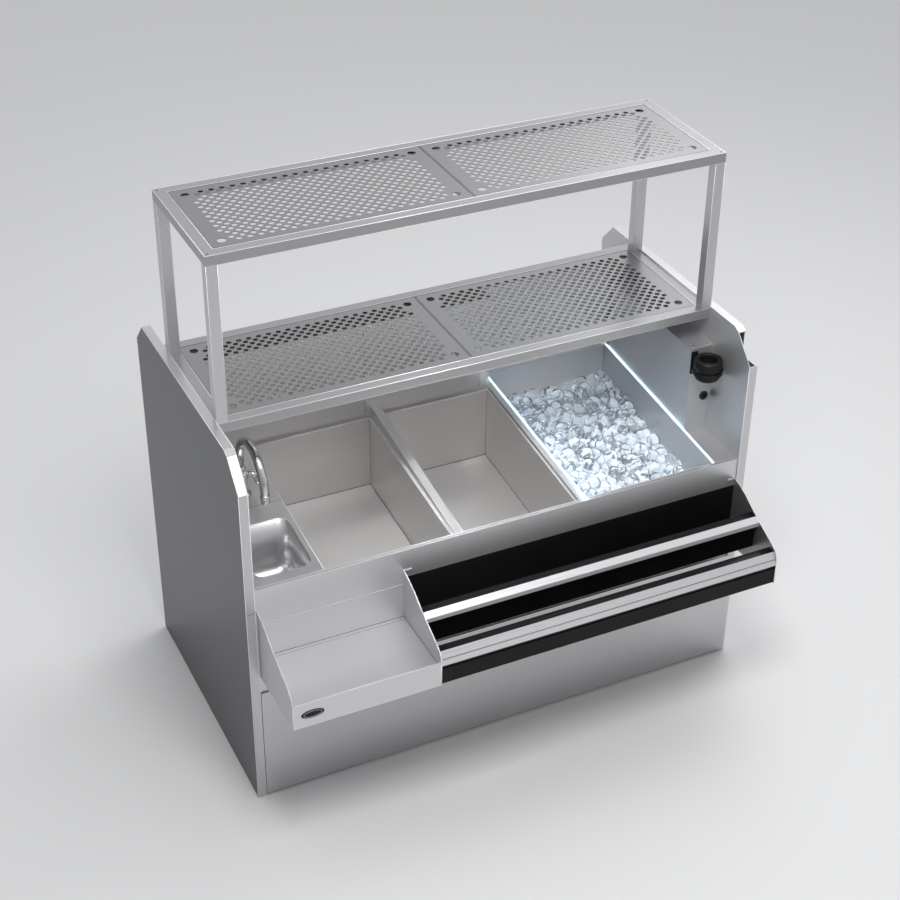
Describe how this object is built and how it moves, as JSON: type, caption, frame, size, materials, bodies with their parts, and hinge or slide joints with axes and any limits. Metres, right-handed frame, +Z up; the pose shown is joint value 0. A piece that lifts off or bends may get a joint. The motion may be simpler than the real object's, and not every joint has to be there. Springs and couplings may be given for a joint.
{
  "type": "bar station with ice bin",
  "caption": "Stainless bar station with an insulated ice bin, open wells, hand sink, bottle rail, drop shelf and perforated overshelves.",
  "frame": {"origin": "middle of the bounding box's bottom, on the floor", "axes": "+X along the station's length, +Y from the bartender to the back, +Z up"},
  "size_m": [1.5, 1.049, 1.5475],
  "materials": {
    "satin_steel": "fine brushed satin stainless",
    "dark_steel": "satin stainless, shaded side skins",
    "bright_strip": "bright ground strip",
    "chrome": "polished",
    "black_plastic": "black, satin gloss",
    "black_rubber": "matt",
    "foam": "rigid foam",
    "light": "diffusing light bar",
    "ice": "clear ice",
    "galvanised": "plain mill finish",
    "plastic_drain": "plain"
  },
  "bodies": {
    "cabinet": {"left_side_panel": "satin_steel", "right_side_panel": "satin_steel", "right_outer_skin": "satin_steel", "lower_front_panel": "satin_steel", "front_apron": "satin_steel", "backsplash": "satin_steel", "splash_hems": "satin_steel", "sink_deck": "satin_steel", "sink_bowl": "satin_steel", "faucet_deck": "satin_steel", "well_left": "satin_steel", "well_right": "satin_steel", "bin_liner": "satin_steel", "right_deck": "satin_steel", "chase_cover": "satin_steel", "holster_bracket": "satin_steel", "lower_shelf_frame": "satin_steel", "top_shelf_frame": "satin_steel", "front_posts": "satin_steel", "rear_posts": "satin_steel", "drop_plate_left": "satin_steel", "drop_plate_right": "satin_steel", "drop_tray": "satin_steel", "rail_plate_left": "satin_steel", "rail_plate_right": "satin_steel", "rail_hooks": "satin_steel", "left_outer_skin": "dark_steel", "base_front_rail": "galvanised", "base_rear_rail": "galvanised", "base_cross_rails": "galvanised", "bottom_panel": "galvanised", "back_panel": "galvanised", "levelling_feet": "chrome", "sink_drain": "chrome", "faucet_body": "chrome", "faucet_nut": "chrome", "chase_screws": "chrome", "rail_strips": "bright_strip", "upper_trough": "black_plastic", "lower_trough": "black_plastic", "rail_bars": "black_plastic", "front_badge": "black_plastic", "hose_grommet": "black_rubber", "bin_insulation": "foam", "false_bottom": "satin_steel", "rim_light_left": "light", "rim_light_right": "light", "ice": "ice", "well_drains": "plastic_drain", "bin_drain": "plastic_drain"},
    "spout": {"faucet_spout": "chrome", "faucet_aerator": "chrome"},
    "lever": {"faucet_lever": "chrome"},
    "strainer": {"sink_strainer": "chrome"},
    "holster_cup": {"holster_cup": "black_plastic"},
    "divider": {"divider_bar": "satin_steel"},
    "lower_insert_left": {"lower_insert_left": "satin_steel"},
    "lower_insert_right": {"lower_insert_right": "satin_steel"},
    "top_insert_left": {"top_insert_left": "satin_steel"},
    "top_insert_right": {"top_insert_right": "satin_steel"}
  },
  "joints": [
    {"name": "spout_swivel", "type": "hinge", "parent": "cabinet", "child": "spout", "pos_m": [-0.62, 0.0815, 0.85], "axis": [0, 0, 1], "range_deg": [-25, 60]},
    {"name": "lever_turn", "type": "hinge", "parent": "cabinet", "child": "lever", "pos_m": [-0.62, 0.0815, 0.79223], "axis": [1, 0, 0], "range_deg": [-60, 0]},
    {"name": "strainer_lift", "type": "slide", "parent": "cabinet", "child": "strainer", "axis": [0, 0, 1], "range_m": [0, 0.12]},
    {"name": "cup_lift", "type": "slide", "parent": "cabinet", "child": "holster_cup", "axis": [0, 0, 1], "range_m": [0, 0.12]},
    {"name": "divider_lift", "type": "slide", "parent": "cabinet", "child": "divider", "axis": [0, 0, 1], "range_m": [0, 0.12]},
    {"name": "lower_left_lift", "type": "slide", "parent": "cabinet", "child": "lower_insert_left", "axis": [0, 0, 1], "range_m": [0, 0.3]},
    {"name": "lower_right_lift", "type": "slide", "parent": "cabinet", "child": "lower_insert_right", "axis": [0, 0, 1], "range_m": [0, 0.3]},
    {"name": "top_left_lift", "type": "slide", "parent": "cabinet", "child": "top_insert_left", "axis": [0, 0, 1], "range_m": [0, 0.3]},
    {"name": "top_right_lift", "type": "slide", "parent": "cabinet", "child": "top_insert_right", "axis": [0, 0, 1], "range_m": [0, 0.3]}
  ]
}
